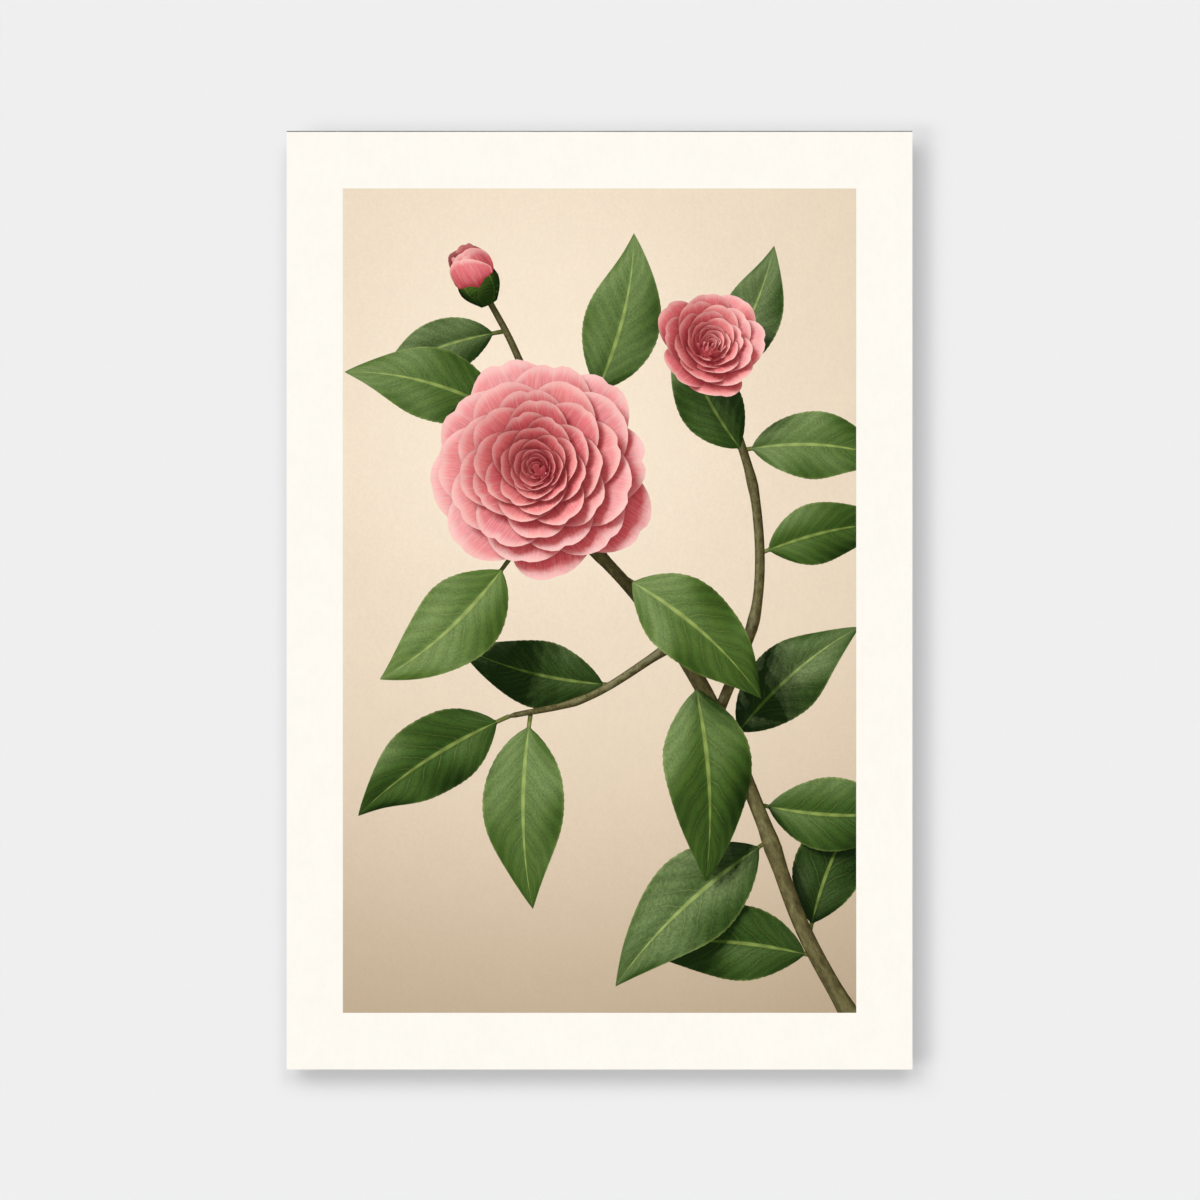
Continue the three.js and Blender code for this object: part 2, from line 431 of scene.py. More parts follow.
def picture_points(motif):
    """Where the picture's facets have their corners, and the lines that they must follow."""
    points = [CORNERS * HALF_SHEET, CORNERS * HALF_PICTURE]
    lines = [[first + k, first + (k + 1) % 4] for first in (0, 4) for k in range(4)]

    margin = 6
    edges = motif.visible_edges()
    edges = edges[(np.abs(edges) < HALF_PICTURE + margin).all(axis=(1, 2))]
    ends, index = np.unique(np.round(edges.reshape(-1, 2), 3), axis=0, return_inverse=True)
    pairs = index.reshape(-1, 2) + 8
    lines += [list(map(int, p)) for p in pairs if p[0] != p[1]]
    points.append(ends)

    cell = FACET * 0.42
    near = set()  # the cells of a fine grid that a line runs through
    for a, b in edges:
        count = max(2, int(np.linalg.norm(b - a) / (cell * 0.7)) + 1)
        for spot in a + (b - a) * np.linspace(0, 1, count)[:, None]:
            near.add((int(spot[0] // cell), int(spot[1] // cell)))
    rng = np.random.default_rng(11)
    filling = []
    right, top = HALF_PICTURE
    rise = FACET * math.sqrt(3) / 2
    for row, y in enumerate(np.arange(-top + FACET / 2, top, rise)):
        for x in np.arange(-right + FACET * (0.5 + 0.5 * (row % 2)), right, FACET):
            spot = np.array([x, y]) + rng.uniform(-0.12, 0.12, 2) * FACET
            home = (int(spot[0] // cell), int(spot[1] // cell))
            around = ((home[0] + i, home[1] + j) for i in (-1, 0, 1) for j in (-1, 0, 1))
            if motif.front_at(*spot)[0] >= 0 and not any(c in near for c in around):
                if (np.abs(spot) < HALF_PICTURE - FACET * 0.4).all():
                    filling.append(spot)
    points.append(np.array(filling))
    return np.vstack(points), lines


def flat_picture(motif):
    """The sheet's front as flat facets: their corners, each facet's kind, and what shows on it."""
    points, lines = picture_points(motif)
    laid = delaunay_2d_cdt([Vector(p) for p in points], lines, [], 0, 2e-3)
    corners = np.array([tuple(v) for v in laid[0]])
    facets = np.array([f for f in laid[2] if len(f) == 3])
    a, b, c = (corners[facets[:, k]] for k in range(3))
    turned = flat_cross(b - a, c - a)
    facets[turned < 0] = facets[turned < 0][:, ::-1]
    middles = corners[facets].mean(axis=1)

    kinds = np.full(len(facets), GROUND)
    owners = np.full(len(facets), -1)
    outside = (np.abs(middles) > HALF_PICTURE).any(axis=1)
    kinds[outside] = BORDER
    for i in np.nonzero(~outside)[0]:
        owners[i] = motif.front_at(*middles[i])[0]
        if owners[i] >= 0:
            kinds[i] = motif.forms[owners[i]].kind

    found = {}
    where = np.full((len(facets), 3), -1)
    for i in np.nonzero(owners >= 0)[0]:
        for k in range(3):
            corner = int(facets[i, k])
            key = (int(owners[i]), corner)
            if key not in found:
                place, index = motif.visible_here(key[0], *corners[corner], middles[i])
                if index is None:
                    continue
                found[key] = (len(found), place, index)
            where[i, k] = found[key][0]
    return corners, facets, kinds, where, sample_forms(motif, found)


def sample_forms(motif, found):
    """u, v, tone, light and sheen for each place found on a form."""
    owner = np.array([key[0] for key in found])
    places = np.array([tuple(f[1]) for f in found.values()])
    index = np.array([f[2] for f in found.values()])
    values = np.zeros((len(found), 5))
    normals = np.zeros((len(found), 3))
    for k in np.unique(owner):
        mine = owner == k
        form = motif.forms[k]
        corners = form.triangles[index[mine]]
        p = form.points.reshape(-1, 3)[corners]
        e1, e2, w = p[:, 1] - p[:, 0], p[:, 2] - p[:, 0], places[mine] - p[:, 0]
        d11, d12, d22 = (e1 * e1).sum(1), (e1 * e2).sum(1), (e2 * e2).sum(1)
        w1, w2 = (w * e1).sum(1), (w * e2).sum(1)
        area = np.maximum(d11 * d22 - d12 * d12, 1e-9)
        b1 = (d22 * w1 - d12 * w2) / area
        b2 = (d11 * w2 - d12 * w1) / area
        share = np.clip(np.stack([1 - b1 - b2, b1, b2], 1), 0, 1)
        share /= share.sum(1, keepdims=True)
        values[mine, 0] = (form.u[corners] * share).sum(1)
        values[mine, 1] = (form.v[corners] * share).sum(1)
        values[mine, 2] = form.tone
        normals[mine] = unit((form.normals[corners] * share[..., None]).sum(1))
    normals[normals[:, 2] < 0] *= -1
    values[:, 3], values[:, 4] = motif.light(places, normals, owner)
    return values


def sheet_mesh(motif):
    """The printed sheet: its front in facets, and its back and four cut edges. Each facet's corners hold two
    colours: form, with u, v and tone, and lit, with light and sheen."""
    corners, facets, kinds, where, values = flat_picture(motif)
    count = len(corners)
    front = np.full((count, 3), PAPER_FRONT * MM)
    front[:, 0] = corners[:, 0] * MM
    front[:, 2] = (corners[:, 1] + SHEET_MIDDLE) * MM
    rim = [int(np.argmin(((corners - spot) ** 2).sum(1))) for spot in CORNERS * HALF_SHEET]
    rear = front[rim] * [1, PAPER_REAR / PAPER_FRONT, 1]
    faces = [tuple(map(int, f)) for f in facets]
    faces.append((count + 3, count + 2, count + 1, count))
    for k in range(4):
        after = (k + 1) % 4
        faces.append((rim[after], rim[k], count + k, count + after))
    mesh = bpy.data.meshes.new("art_print_sheet")
    mesh.from_pydata(np.vstack([front, rear]).tolist(), [], faces)

    plain = [0, 0, 0.5, 1, 0]  # where no form shows
    shown = np.vstack([values, plain])[where.ravel()]
    form = np.tile([0.0, 0.5, 0.5, 1.0], (len(mesh.loops), 1))
    lit = np.tile([1.0, 0.0, 0.0, 1.0], (len(mesh.loops), 1))
    form[: len(shown), :3] = shown[:, :3]
    form[: len(shown), 1] = shown[:, 1] / 2 + 0.5  # -1 to 1, as 0 to 1
    lit[: len(shown), :2] = shown[:, 3:]
    for name, data in (("form", form), ("lit", lit)):
        layer = mesh.attributes.new(name, "FLOAT_COLOR", "CORNER")
        layer.data.foreach_set("color", data.astype(np.float32).ravel())
    slots = np.concatenate([kinds, np.full(5, BORDER)]).astype(np.int32)
    mesh.polygons.foreach_set("material_index", slots)
    mesh.update()
    return mesh


# Materials.

LIT = 1.075  # how brightly the lamps light the sheet, as a share of the surface's own colour
MATT = 0.05  # the specular level of uncoated paper


def linear(tone):
    """A display tone from 0 to 255 as linear light."""
    c = np.asarray(tone, float) / 255
    return np.where(c <= 0.04045, c / 12.92, ((c + 0.055) / 1.055) ** 2.4)


def ink(*tone):
    """The colour of a surface that shows this display tone under the lamps."""
    return (*np.minimum(linear(tone) / LIT, 1).tolist(), 1.0)


class Value:
    """A node's output. Arithmetic with it adds nodes to its material."""

    def __init__(self, look, socket):
        self.look = look
        self.socket = socket

    def work(self, operation, other=0.0):
        return self.look.math(operation, self, other)

    def swapped(self, operation, other):
        return self.look.math(operation, other, self)

    __add__ = partialmethod(work, "ADD")
    __radd__ = partialmethod(swapped, "ADD")
    __sub__ = partialmethod(work, "SUBTRACT")
    __rsub__ = partialmethod(swapped, "SUBTRACT")
    __mul__ = partialmethod(work, "MULTIPLY")
    __truediv__ = partialmethod(work, "DIVIDE")
    __pow__ = partialmethod(work, "POWER")
    __abs__ = partialmethod(work, "ABSOLUTE")


class Look:
    """A material, with short ways to add to its nodes."""

    def __init__(self, name, roughness=0.5, metallic=0.0, specular=0.5):
        self.material = bpy.data.materials.new(name)
        self.material.use_nodes = True
        self.nodes = self.material.node_tree.nodes
        self.links = self.material.node_tree.links
        self.surface = self.nodes["Principled BSDF"]
        self.put("Roughness", roughness)
        self.put("Metallic", metallic)
        self.put("Specular IOR Level", specular)
        self.here = self.add("TexCoord", output="Object")

    def feed(self, socket, value):
        if isinstance(value, Value):
            self.links.new(value.socket, socket)
        else:
            socket.default_value = value

    def put(self, name, value):
        self.feed(self.surface.inputs[name], value)

    def add(self, kind, inputs=None, output=0, **settings):
        """Adds a node and returns one of its outputs."""
        made = self.nodes.new("ShaderNode" + kind)
        for name, value in settings.items():
            setattr(made, name, value)
        for name, value in (inputs or {}).items():
            self.feed(made.inputs[name], value)
        return Value(self, made.outputs[output])

    def math(self, operation, a, b=0.0):
        return self.add("Math", {0: a, 1: b}, operation=operation)

    def span(self, value, low, high, to_low=0.0, to_high=1.0, smooth=True):
        """value from low to high, as to_low to to_high, and no further."""
        kind = "SMOOTHSTEP" if smooth else "LINEAR"
        inputs = {0: value, 1: low, 2: high, 3: to_low, 4: to_high}
        return self.add("MapRange", inputs, interpolation_type=kind)

    def mix(self, share, a, b, blend="MIX"):
        """A mix of two colours: the node's inputs 6 and 7 and its output 2 are the ones for colours."""
        return self.add("Mix", {0: share, 6: a, 7: b}, 2, data_type="RGBA", blend_type=blend)

    def over(self, under, colour, value, low, high, most=1.0):
        """colour laid over another as value goes from low to high, up to a share of most."""
        return self.mix(self.span(value, low, high, 0.0, most), under, colour)

    def scaled(self, colour, level):
        return self.mix(1, colour, self.join(level, level, level), "MULTIPLY")

    def stretched(self, x, y, z, angle=None):
        """The place on the surface, turned by so many degrees in the wall's plane and then stretched."""
        place = self.here
        if angle is not None:
            inputs = {"Vector": place, "Angle": math.radians(angle)}
            place = self.add("VectorRotate", inputs, rotation_type="Y_AXIS")
        return self.add("VectorMath", {0: place, 1: (x, y, z)}, operation="MULTIPLY")

    def noise(self, scale, detail=2.0, roughness=0.5, distortion=0.0, at=None):
        """Noise from 0 to 1, by the place on the surface or by another vector."""
        inputs = {"Vector": at or self.here, "Scale": scale, "Detail": detail, "Roughness": roughness}
        return self.add("TexNoise", {**inputs, "Distortion": distortion})

    def cells(self, scale, at=None, **settings):
        return self.add("TexVoronoi", {"Vector": at or self.here, "Scale": scale}, "Distance", **settings)

    def ramp(self, value, *stops):
        made = self.add("ValToRGB", {0: value})
        band = made.socket.node.color_ramp
        while len(band.elements) < len(stops):
            band.elements.new(0.5)
        for element, (at, colour) in zip(band.elements, stops):
            element.position = at
            element.color = (*colour[:3], 1)
        return made

    def parts(self, kind, value):
        outputs = self.add(kind, {0: value}).socket.node.outputs
        return [Value(self, part) for part in outputs[:3]]

    def split(self, name):
        """The three parts of a colour attribute of the mesh."""
        settings = {"attribute_name": name, "attribute_type": "GEOMETRY"}
        return self.parts("SeparateColor", self.add("Attribute", output="Color", **settings))

    def axes(self, vector):
        return self.parts("SeparateXYZ", vector)

    def join(self, x, y, z):
        return self.add("CombineXYZ", {0: x, 1: y, 2: z})

    def bump(self, height, distance, strength):
        inputs = {"Height": height, "Distance": distance, "Strength": strength}
        self.put("Normal", self.add("Bump", inputs))

    def colour(self, value):
        self.put("Base Color", value)

    def rough(self, value):
        self.put("Roughness", value)


def placed(name, data):
    """A new object in the scene."""
    made = bpy.data.objects.new(name, data)
    bpy.context.collection.objects.link(made)
    return made


def on_paper(look, colour):
    """Finishes a colour as ink on matt cotton paper: its tooth, its fibres and their faint mottling."""
    tooth = look.noise(900, 4, 0.6)
    fibres = look.noise(420, 3, 0.55, 0.6, look.stretched(1, 1, 0.35))
    mottle = tooth * 0.5 + fibres * 0.5
    level = look.span(mottle, 0.25, 0.75, 0.975, 1.02, smooth=False)
    cloud = look.span(look.noise(60), 0.3, 0.7, 0.993, 1.005)
    look.colour(look.scaled(colour, level * cloud))
    look.rough(look.span(tooth, 0.3, 0.7, 0.84, 0.95))
    look.bump(mottle, 0.00008, 0.35)
    return look.material


def bare_paper():
    return on_paper(Look("paper_border", specular=MATT), ink(254, 250, 241))


def printed_ground():
    """A warm backdrop, lightest above the middle and darkening towards the foot and the lower corners."""
    look = Look("print_ground", specular=MATT)
    glow_left, glow_rise = 0.045, 0.105
    reach_across, reach_up, reach_down = 0.36, 0.36, 0.42
    x, _, z = look.axes(look.here)
    across = (x + glow_left) * (1 / reach_across)
    above = z - (SHEET_MIDDLE * MM + glow_rise)
    down = look.math("MAXIMUM", above * (-1 / reach_down))
    up = look.math("MAXIMUM", above * (1 / reach_up))
    dark = down**1.9 + across * across * 0.55 + up**1.6 * 0.22
    stops = [(0, ink(250, 233, 210)), (0.10, ink(239, 221, 197)), (0.32, ink(228, 209, 184))]
    stops += [(0.62, ink(206, 186, 159)), (1, ink(182, 161, 133))]
    grain = look.span(look.noise(620, 2, 0.7), 0.3, 0.7, 0.978, 1.022, smooth=False)
    return on_paper(look, look.scaled(look.ramp(dark, *stops), grain))


def motif_look(name):
    """A material for one kind of form, with u, v and tone, and light, sheen and an empty part."""
    look = Look(name, specular=MATT)
    return look, look.split("form"), look.split("lit")


def lit_motif(look, base, light, dim, shades, shine, gleam):
    """Finishes a form: base under the light drawn into the picture, and a gleam where it shines. The shades
    are for darkness, dim, full and glaring light, and dim says where the second of them lies."""
    stops = zip((0, dim, dim + 0.4, 1), shades)
    colour = look.mix(1, base, look.ramp(light * 0.7, *stops), "MULTIPLY")
    return on_paper(look, look.mix(shine, colour, gleam))


def printed_leaf():
    look, (u, v, tone), (light, sheen, _) = motif_look("print_leaf")
    side = abs((v - 0.5) * 2)
    base = look.ramp(tone, (0, ink(30, 54, 16)), (0.5, ink(62, 90, 32)), (1, ink(86, 112, 42)))
    patches = look.noise(3.2, 3, 0.6, at=look.join(u * 3, side, tone))
    base = look.over(base, ink(48, 80, 32), patches, 0.35, 0.7, 0.4)
    grain = look.noise(70, 3, 0.6, at=look.join(u, v * 0.6, tone))
    base = look.over(base, ink(104, 130, 62), grain, 0.3, 0.75, 0.22)

    wobble = look.noise(6, at=look.join(u, v, tone)) * 0.7
    phase = look.math("FRACT", u * 9 - side * 2.4 + wobble)
    crest = abs(phase - 0.5)
    vein = look.span(crest, 0.055, 0) * look.span(side, 0.95, 0.15, 0.15, 0.7)
    quilt = look.span(crest, 0, 0.5, 0.86, 1.08)
    rib = look.span(side / look.span(u, 0, 1, 0.075, 0.03), 1, 0.45)
    pale = ink(148, 164, 88)
    base = look.mix(vein * 0.6, base, pale)
    base = look.mix(rib * 0.85, base, pale)
    base = look.over(base, ink(140, 152, 84), side, 0.93, 1, 0.45)

    shades = (0.01, 0.03, 0), (0.11, 0.17, 0.05), (0.95, 0.99, 0.84), (1.62, 1.56, 1.3)
    shine = sheen * look.span(grain, 0.2, 0.8, 0.2, 0.46) * quilt
    return lit_motif(look, base, light * quilt, 0.3, shades, shine, ink(172, 190, 134))


def printed_petal():
    look, (u, v, tone), (light, sheen, _) = motif_look("print_petal")
    rose = look.ramp(tone, (0, ink(230, 108, 116)), (0.5, ink(242, 126, 128)), (1, ink(249, 146, 142)))
    base = look.over(ink(214, 84, 98), rose, u, 0.35, 0.95)
    streak = look.noise(4, 3, 0.6, 0.3, look.join(v * 7, u * 0.9, tone))
    base = look.over(base, ink(198, 84, 100), streak, 0.42, 0.72, 0.5)
    veins = look.noise(3, 2, 0.5, 0.5, look.join(v * 26, u, tone))
    base = look.over(base, ink(248, 190, 182), veins, 0.45, 0.62, 0.28)
    base = look.over(base, ink(250, 203, 194), u + (streak - 0.5) * 0.14, 0.88, 1, 0.66)
    shades = (0.2, 0.05, 0.06), (0.55, 0.34, 0.35), (1, 1, 1), (1.25, 1.25, 1.22)
    return lit_motif(look, base, light, 0.25, shades, sheen * 0.25, ink(255, 244, 240))


def printed_stem():
    look, (u, v, tone), (light, sheen, _) = motif_look("print_stem")
    bark = look.noise(2, 4, 0.65, at=look.join(u * 30, v * 3, tone))
    base = look.ramp(bark, (0.3, ink(70, 62, 38)), (0.5, ink(100, 92, 56)), (0.72, ink(132, 128, 80)))
    base = look.over(base, ink(122, 132, 64), tone, 0.8, 0.95)
    shades = (0.05, 0.04, 0.02), (0.4, 0.38, 0.32), (1, 1, 1), (1.4, 1.4, 1.35)
    return lit_motif(look, base, light, 0.3, shades, sheen * 0.3, ink(190, 186, 150))


def show_print():
    mesh = sheet_mesh(Motif(compose()))
    for make in (printed_ground, printed_leaf, printed_petal, printed_stem, bare_paper):
        mesh.materials.append(make())
    sheet = placed("art_print_sheet", mesh)
    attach(sheet, "root")
    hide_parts("art_print")


# The board and the hanging frame behind the sheet.


def scratches(look, angle, pitch, width, sparse):
    """Thin straight marks on a surface that faces the wall. angle is in degrees, pitch in metres across the
    marks, width a share of that, and sparse a level that thins them out."""
    spread = look.stretched(1 / pitch, 1 / pitch, 0.06 / pitch, angle)
    mark = look.span(look.cells(1, spread, feature="DISTANCE_TO_EDGE"), width, 0)
    return mark * look.span(look.noise(1.6 / pitch), sparse, sparse + 0.12)


def coated_skin(name, tone):
    """Roller-coated aluminium sheet: satin lacquer with a faint orange peel, coil grain, scuffs and smudges,
    and bright metal where the sheet is cut."""
    look = Look(name, 0.4, 0.15, 0.3)
    grain = look.noise(900, 3, 0.6, at=look.stretched(1, 1, 0.02))
    bands = look.noise(45, at=look.stretched(1, 1, 0.05))
    peel = look.noise(650)
    smudge = look.noise(14, 4, 0.6, 1.2)
    scuffs = [scratches(look, 24, 0.05, 0.004, 0.56), scratches(look, -61, 0.08, 0.003, 0.58)]
    marks = look.math("MAXIMUM", *scuffs)
    light, dark = ink(*tone), ink(*(c * 0.93 for c in tone))
    colour = look.over(light, dark, grain, 0.3, 0.7)
    colour = look.over(colour, dark, bands, 0.35, 0.7, 0.35)
    colour = look.mix(marks * 0.35, colour, ink(226, 228, 230))
    facing_wall = abs(look.axes(look.add("NewGeometry", output="Normal"))[1])
    look.colour(look.over(colour, ink(214, 215, 217), facing_wall, 0.6, 0.3))
    look.rough(look.span(smudge, 0.35, 0.7, 0.34, 0.5) + marks * 0.15)
    look.bump(peel * 0.5 + grain * 0.25 - marks, 0.00003, 0.5)
    return look.material


def cut_core():
    """Black polyethylene, sawn: strokes across the board's edge and a few torn, paler ones."""
    look = Look("core_cut", 0.6, specular=0.4)
    strokes = look.noise(2400, 3, 0.7, at=look.stretched(1, 0.06, 1))
    chatter = look.noise(160, at=look.stretched(1, 0.1, 1))
    colour = look.ramp(strokes, (0.3, ink(22, 22, 24)), (0.55, ink(38, 38, 41)), (0.8, ink(84, 84, 88)))
    look.colour(look.over(colour, ink(60, 60, 64), chatter, 0.45, 0.75, 0.5))
    look.rough(look.span(chatter, 0.3, 0.7, 0.5, 0.75))
    look.bump(strokes + chatter, 0.00006, 0.7)
    return look.material


def mitre_seams(look):
    """1 on the thin dark lines where two rails meet, as far in from one outer side as from the other."""
    low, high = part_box("rail_right")
    x, _, z = look.axes(look.here)
    middle = (low[2] + high[2]) / 2
    from_side = high[0] - abs(x)
    from_end = high[2] - middle - abs(z - middle)
    return look.span(abs(from_side - from_end), 0.6 * MM, 0.15 * MM)


def extruded(name, lengthwise):
    """Mill-finish aluminium with die lines, oxide bloom and scratches from handling. lengthwise stretches the
    lines along the rail."""
    look = Look(name, 0.34, 1)
    lines = look.noise(2300, 4, 0.7, at=look.stretched(*lengthwise))
    broad = look.noise(420, 3, 0.6, at=look.stretched(*lengthwise))
    bloom = look.noise(38, 5, 0.65, 0.8)
    scuffs = [scratches(look, 12, 0.016, 0.012, 0.54), scratches(look, 71, 0.022, 0.009, 0.56)]
    marks = look.math("MAXIMUM", *scuffs)
    colour = look.over((0.74, 0.75, 0.76, 1), (0.57, 0.58, 0.60, 1), lines, 0.3, 0.7)
    colour = look.over(colour, (0.64, 0.65, 0.67, 1), broad, 0.35, 0.7, 0.5)
    colour = look.over(colour, (0.53, 0.53, 0.54, 1), bloom, 0.5, 0.75, 0.4)
    colour = look.mix(marks * 0.6, colour, (0.88, 0.89, 0.90, 1))
    look.colour(look.mix(mitre_seams(look) * 0.8, colour, (0.10, 0.10, 0.11, 1)))
    look.rough(look.span(lines, 0.3, 0.7, 0.26, 0.4) + look.span(bloom, 0.45, 0.75, 0, 0.16))
    look.bump(lines + broad * 0.8 - marks, 0.00003, 0.7)
    return look.material


def die_cast():
    """Zinc casting as it leaves the mould: a fine grain, flow clouds and small dark pits."""
    look = Look("key_cast", 0.5, 0.9)
    grain = look.noise(1500, 4, 0.7)
    flow = look.noise(120, 3, 0.6, 1.5)
    pit = look.span(look.cells(900), 0.16, 0.05) * look.span(flow, 0.45, 0.6)
    colour = look.over((0.46, 0.47, 0.48, 1), (0.34, 0.35, 0.37, 1), flow, 0.3, 0.7)
    look.colour(look.mix(pit, colour, (0.12, 0.12, 0.13, 1)))
    look.rough(look.span(grain, 0.3, 0.7, 0.42, 0.62))
    look.bump(grain - pit, 0.00006, 0.8)
    return look.material


def acrylic_foam():
    """Dark closed-cell foam tape: cut cells of many sizes."""
    look = Look("tape_foam", 0.85, specular=0.25)
    cells = look.cells(4200)
    colour = look.ramp(cells, (0.1, ink(30, 30, 32)), (0.5, ink(62, 62, 65)), (0.9, ink(88, 88, 91)))
    look.colour(look.over(colour, ink(48, 48, 50), look.noise(300, 3), 0.4, 0.7, 0.35))
    look.bump(cells, 0.00008, 0.8)
    return look.material


def wool_felt():
    """Pressed felt: pale and dark fibres that lie every way."""
    look = Look("pad_felt", 1, specular=0.1)
    look.put("Sheen Weight", 0.5)
    look.put("Sheen Roughness", 0.6)
    runs = [look.noise(3200, 2, 0.6, 0.8, look.stretched(1, 1, 0.12, angle)) for angle in (8, 52, 97, 141)]
    fibres = sum(run * 0.25 for run in runs)
    clumps = look.noise(500, 3, 0.6)
    colour = look.ramp(fibres, (0.4, ink(84, 81, 76)), (0.5, ink(132, 128, 121)), (0.6, ink(178, 173, 165)))
    look.colour(look.over(colour, ink(112, 109, 103), clumps, 0.4, 0.7, 0.4))
    look.bump(fibres + clumps * 0.5, 0.0002, 0.9)
    return look.material


def loft(name, rings, material):
    """A closed body through rings of points, each a closed loop in the same order."""
    rings = np.asarray(rings, float)
    rows, count = rings.shape[:2]
    faces = grid_quads(rows, count, closed=True)[:, [0, 3, 2, 1]].tolist()
    last = (rows - 1) * count
    faces += [tuple(reversed(range(count))), tuple(range(last, last + count))]
    mesh = bpy.data.meshes.new(name)
    mesh.from_pydata(rings.reshape(-1, 3).tolist(), [], faces)
    shape = bmesh.new()
    shape.from_mesh(mesh)
    bmesh.ops.recalc_face_normals(shape, faces=shape.faces)
    shape.to_mesh(mesh)
    shape.free()
    mesh.shade_smooth()
    mesh.materials.append(material)
    piece = placed(name, mesh)
    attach(piece, "root")
    return piece


def foam_strip(side, material):
    """A strip of tape that the board's weight has squeezed: its sides bulge, a little unevenly."""
    node = "tape_" + side
    low, high = (np.array(corner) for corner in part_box(node))
    middle, half = (low + high) / 2, (high - low) / 2
    length_axis = 0 if side in ("top", "bottom") else 2
    width_axis = 2 - length_axis
    length = 2 * half[length_axis]
    rng = np.random.default_rng(sum(map(ord, side)))
    bulge, round_end, turns = 0.35 * MM, 0.5 * MM, np.linspace(-math.pi / 2, math.pi / 2, 7)
    end_steps, pitch = np.array([0, 0.12, 0.3, 0.6, 1.0]), 9
    stations = np.concatenate([end_steps, np.arange(pitch, length / MM - 8, pitch)])
    stations = np.concatenate([stations * MM, length - end_steps[::-1] * MM])
    rings = []
    for place in stations:
        end = min(place, length - place)
        inset = round_end * (1 - math.sqrt(1 - (1 - min(end / round_end, 1)) ** 2))
        out = bulge * rng.uniform(0.6, 1.0)
        ring = []
        for way in (1, -1):
            for turn in turns:
                point = np.zeros(3)
                point[length_axis] = place - half[length_axis]
                point[width_axis] = way * (half[width_axis] - inset - bulge + out * math.cos(turn))
                point[1] = way * (half[1] - inset * 0.5) * math.sin(turn)
                ring.append(middle + point)
        rings.append(ring)
    strip = loft("foam_" + node, rings, material)
    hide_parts(node)


def felt_disc(node, material):
    """A punched felt disc: a soft rounded rim, a slightly crowned face and a fuzzy surface."""
    low, high = (np.array(corner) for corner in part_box(node))
    radius = (high[0] - low[0]) / 2
    depth = high[1] - low[1]
    middle = (low + high) / 2
    outline = [(0.98, 0.0), (1.0, 0.12), (1.01, 0.35), (1.0, 0.6), (0.985, 0.78), (0.95, 0.9), (0.88, 0.965)]
    outline += [(reach, 0.965 + 0.035 * (1 - reach)) for reach in (0.78, 0.66, 0.54, 0.42, 0.3, 0.18, 0.07)]
    rings = []
    for reach, rise in outline:
        ring = []
        for turn in np.linspace(0, 2 * math.pi, 72, endpoint=False):
            out = np.array([math.cos(turn), 0, math.sin(turn)])
            point = middle + out * radius * reach * 0.985
            point[1] = low[1] + depth * rise
            fuzz = noise.noise(Vector(point * 2500)) * 0.6 + noise.noise(Vector(point * 900))
            if rise > 0:
                point += out * fuzz * 0.06 * MM
                point[1] += min(fuzz, 0) * 0.05 * MM
            ring.append(point)
        rings.append(ring)
    disc = loft("felt_" + node, rings, material)
    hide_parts(node)


def dress_frame():
    level = extruded("rail_level", (0.008, 1, 1))
    upright = extruded("rail_upright", (1, 1, 0.008))
    looks = {
        "panel_front_skin": coated_skin("skin_front", (56, 55, 53)),
        "panel_rear_skin": coated_skin("skin_rear", (190, 191, 192)),
        "panel_core": cut_core(),
        "rail_top": level,
        "rail_bottom": level,
        "rail_left": upright,
        "rail_right": upright,
        "corner_key": die_cast(),
    }
    for name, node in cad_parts.items():
        for start, material in looks.items():
            if name.startswith(start):
                node.data.materials.clear()
                node.data.materials.append(material)
        if name.startswith(("rail", "corner_key")):
            soften_edges(node, 0.35 * MM)
    foam, felt = acrylic_foam(), wool_felt()
    for side in ("top", "bottom", "left", "right"):
        foam_strip(side, foam)
    for vertical in ("top", "bottom"):
        for horizontal in ("left", "right"):
            felt_disc(f"pad_{vertical}_{horizontal}", felt)


def soften_edges(node, width):
    """Joins a node's facets and rounds its sharp edges, as modifiers."""
    weld = node.modifiers.new("weld", "WELD")
    weld.merge_threshold = 1e-5
    bevel = node.modifiers.new("edges", "BEVEL")
    bevel.width = width
    bevel.segments = 2
    bevel.limit_method = "ANGLE"
    bevel.angle_limit = math.radians(30)
    flats = node.modifiers.new("flats", "WEIGHTED_NORMAL")
    flats.mode = "FACE_AREA"
    flats.weight = 100


# Wall, floor, lamps and camera.

WALL_Y = 8 * MM
FLOOR_Z = -0.95
STUDIO = 12.0  # the radius of the studio's dome and floor
SENSOR = 36.0  # the camera's sensor and lens, in millimetres
LENS = 200.0
FRAME_WIDTH = 0.7671  # how much of the sheet's plane the camera sees
FRAME_MIDDLE = (0.0003, -0.2684)


def stage_part(name, points, faces, material):
    mesh = bpy.data.meshes.new(name)
    mesh.from_pydata(points, [], faces)
    mesh.materials.append(material)
    part = placed(name, mesh)
    part.visible_shadow = False
    part.visible_diffuse = False
    return part


def show_front(look, surface):
    """Makes surface the material's look from the front and leaves it clear from behind."""
    behind = look.add("NewGeometry", output="Backfacing")
    seen = look.add("MixShader", {0: behind, 1: surface, 2: look.add("BsdfTransparent")})
    look.feed(look.nodes["Material Output"].inputs["Surface"], seen)


def add_wall():
    """The wall, which is seen from its front only, so views from behind show the print's back."""
    look = Look("wall", 0.9, specular=0.1)
    look.colour(ink(238, 238, 238))
    show_front(look, Value(look, look.surface.outputs[0]))
    side, top = STUDIO * 0.7, STUDIO * 0.5
    corners = [(x, WALL_Y, z) for x, z in ((-side, FLOOR_Z), (side, FLOOR_Z), (side, top), (-side, top))]
    stage_part("wall", corners, [(0, 1, 2, 3)], look.material).visible_glossy = False


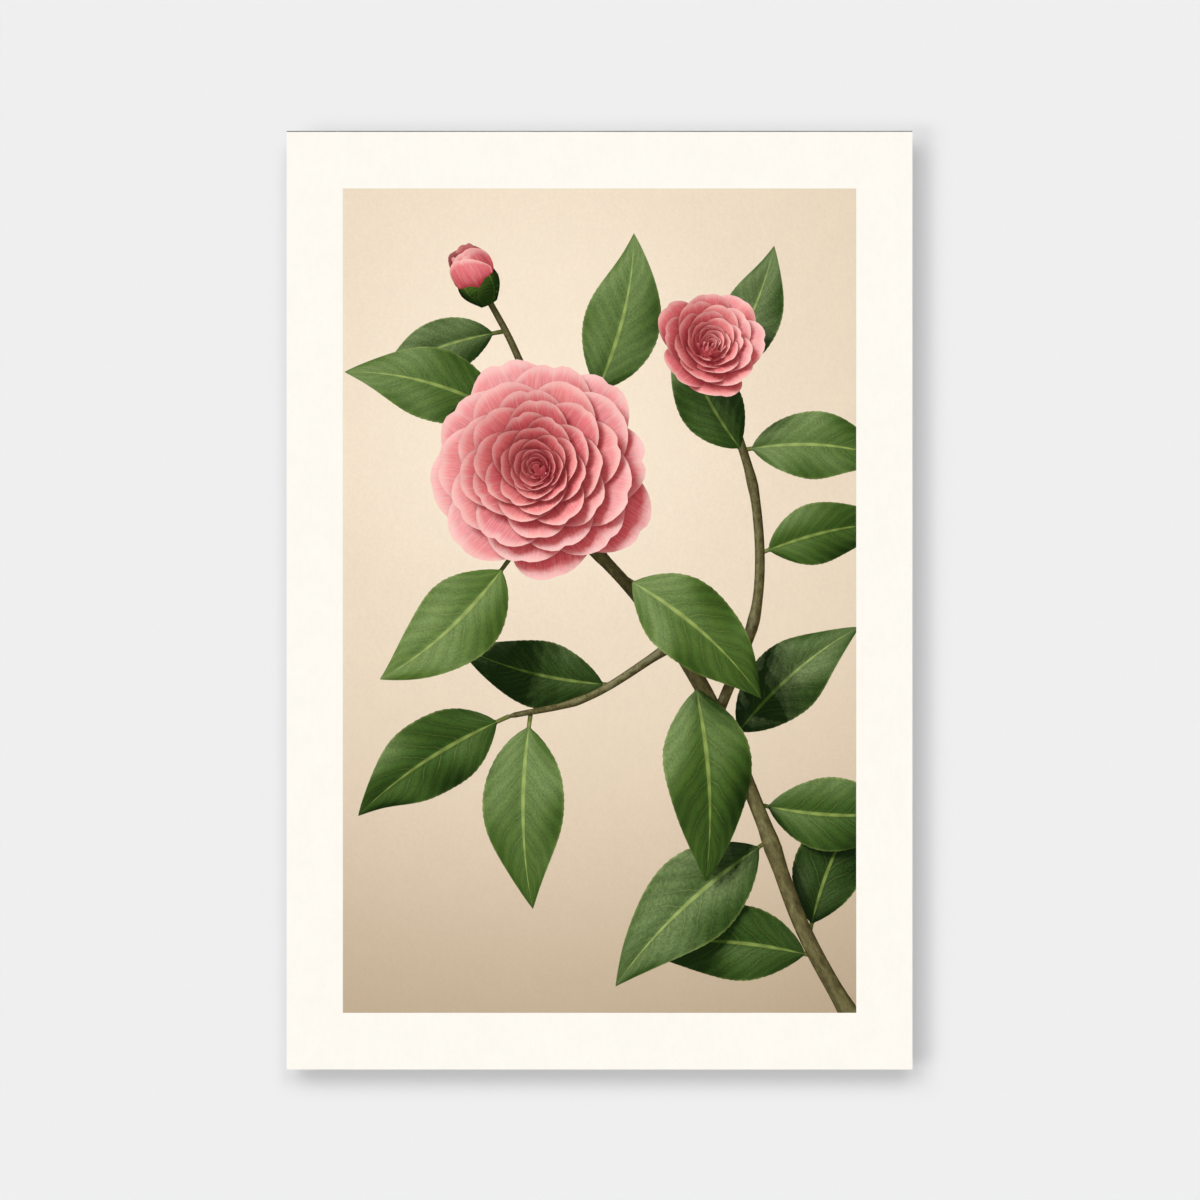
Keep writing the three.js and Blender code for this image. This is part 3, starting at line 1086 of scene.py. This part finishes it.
def glowing(name, above):
    """A pale surface that is seen, directly or as a gleam, and lights nothing matt. It brightens with height,
    to above at the top of the studio, and is clear from outside."""
    look = Look(name)
    strength = look.span(look.axes(look.here)[2], FLOOR_Z, FLOOR_Z + STUDIO, 0.8, above)
    unscattered = look.math("LESS_THAN", look.add("LightPath", output="Diffuse Depth"), 0.5)
    show_front(look, look.add("Emission", {"Color": (1, 1, 1, 1), "Strength": strength * unscattered}))
    return look.material


def circle(count, radius, z, **ends):
    turns = np.linspace(0, 2 * math.pi, count, **ends)
    return [(radius * math.cos(turn), radius * math.sin(turn), z) for turn in turns]


def add_floor_and_dome():
    rim = circle(96, STUDIO, FLOOR_Z, endpoint=False)
    stage_part("floor", rim, [tuple(range(len(rim)))], glowing("floor", 0.8))
    count, rises = 97, np.linspace(0, math.pi / 2, 25)
    rings = [circle(count, STUDIO * math.cos(rise), FLOOR_Z + STUDIO * math.sin(rise)) for rise in rises]
    faces = grid_quads(len(rises), count).tolist()
    stage_part("dome", sum(rings, []), faces, glowing("dome", 1.6))


def add_lamp(name, towards, share, spread):
    """A far lamp in the direction towards. share is the light it gives on a surface like the wall's, and
    spread its width in degrees."""
    lamp = bpy.data.lights.new(name, "SUN")
    lamp.angle = math.radians(spread)
    towards = Vector(towards).normalized()
    lamp.energy = share * math.pi / max(abs(towards.y), 0.5)
    obj = placed(name, lamp)
    obj.rotation_euler = towards.to_track_quat("Z", "Y").to_euler()
    return lamp


def add_lamps():
    """Three soft lamps in front, the strongest at the upper left, an even fill without shadows, and one lamp
    behind the wall's plane for the back."""
    add_lamp("key", (-0.55, -1, 0.61), 0.270, 38)
    add_lamp("left", (-0.85, -1, -0.24), 0.170, 28)
    add_lamp("right", (0.23, -1, 0.67), 0.138, 25)
    fill = add_lamp("fill", (0, -1, 0), 0.452, 10)
    fill.use_shadow = False
    fill.cycles.max_bounces = 0
    add_lamp("rear", (-0.6, 1, 0.4), 0.95, 30).cycles.max_bounces = 0
    world = bpy.data.worlds.new("studio")
    world.use_nodes = True
    sky = world.node_tree.nodes["Background"]
    sky.inputs["Color"].default_value = (1, 1, 1, 1)
    sky.inputs["Strength"].default_value = 0.05
    bpy.context.scene.world = world


def add_camera():
    data = bpy.data.cameras.new("camera")
    data.lens = LENS
    data.sensor_width = SENSOR
    camera = placed("camera", data)
    distance = FRAME_WIDTH * LENS / SENSOR
    camera.location = (FRAME_MIDDLE[0], PAPER_FRONT * MM - distance, FRAME_MIDDLE[1])
    camera.rotation_euler = (math.pi / 2, 0, 0)
    bpy.context.scene.camera = camera
    bpy.context.scene.view_settings.view_transform = "Standard"


show_print()
dress_frame()
add_wall()
add_floor_and_dome()
add_lamps()
add_camera()
